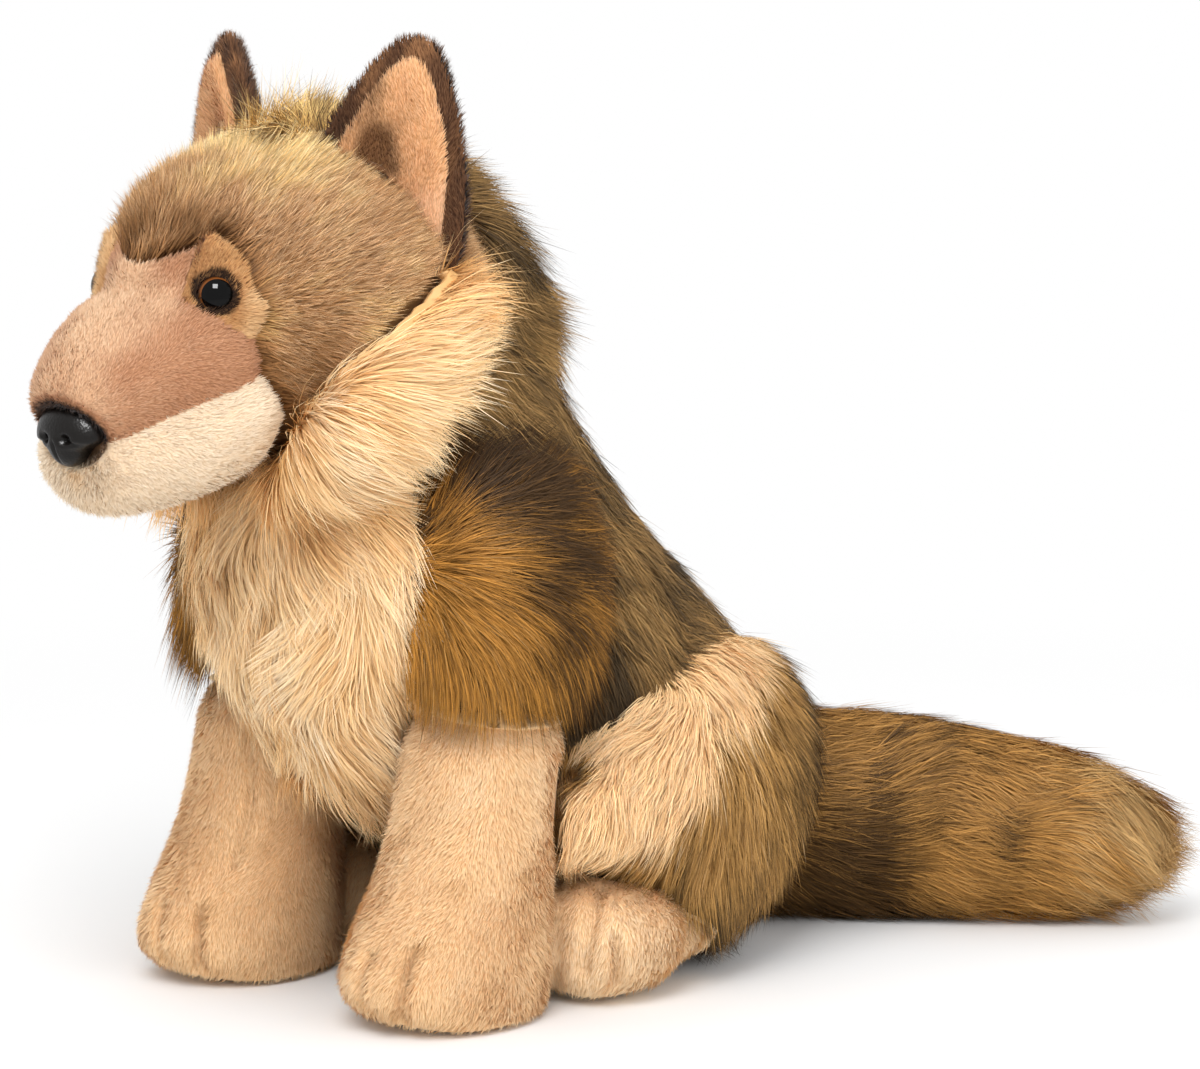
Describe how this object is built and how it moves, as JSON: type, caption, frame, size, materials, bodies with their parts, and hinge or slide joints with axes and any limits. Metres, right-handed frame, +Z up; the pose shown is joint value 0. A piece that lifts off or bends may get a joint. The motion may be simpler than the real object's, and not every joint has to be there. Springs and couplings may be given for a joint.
{
  "type": "plush wolf",
  "caption": "Sitting plush wolf with short-pile muzzle and legs, long-pile coat and tail, pale ruff and bib, and moulded eyes and nose",
  "frame": {"origin": "centre of the bounding box's bottom, on the surface that the wolf sits on", "axes": "+Z up, the wolf faces -Y, its left side is at +X, and the tail lies behind it to its left"},
  "size_m": [0.2186, 0.369, 0.2893],
  "materials": {
    "tan_pile": "short velour pile, tan",
    "cream_pile": "long pile, cream",
    "ochre_pile": "long pile, ochre with dark tips",
    "olive_pile": "long pile, dark olive",
    "brown_pile": "medium pile, grey brown",
    "taupe_pile": "short velour pile, taupe",
    "white_pile": "short velour pile, cream white",
    "peach_pile": "short pile, peach",
    "umber_pile": "short pile, dark brown",
    "black_plastic": "moulded, fine leather grain",
    "eye_plastic": "polished, dark pupil in brown"
  },
  "bodies": {
    "root": {"cheek_ruff_left": "cream_pile", "cheek_ruff_right": "cream_pile", "chest_bib": "cream_pile", "chin": "white_pile", "ear_back_left": "umber_pile", "ear_back_right": "umber_pile", "ear_lining_left": "peach_pile", "ear_lining_right": "peach_pile", "eye_left": "eye_plastic", "eye_patch_left": "tan_pile", "eye_patch_right": "tan_pile", "eye_right": "eye_plastic", "front_leg_left": "tan_pile", "front_leg_right": "tan_pile", "head": "brown_pile", "hind_paw_left": "tan_pile", "hind_paw_right": "tan_pile", "muzzle": "taupe_pile", "nape": "olive_pile", "nose": "black_plastic", "shoulder_left": "ochre_pile", "shoulder_right": "ochre_pile", "tail": "ochre_pile", "thigh_left": "ochre_pile", "thigh_right": "ochre_pile", "torso": "olive_pile"}
  },
  "joints": []
}
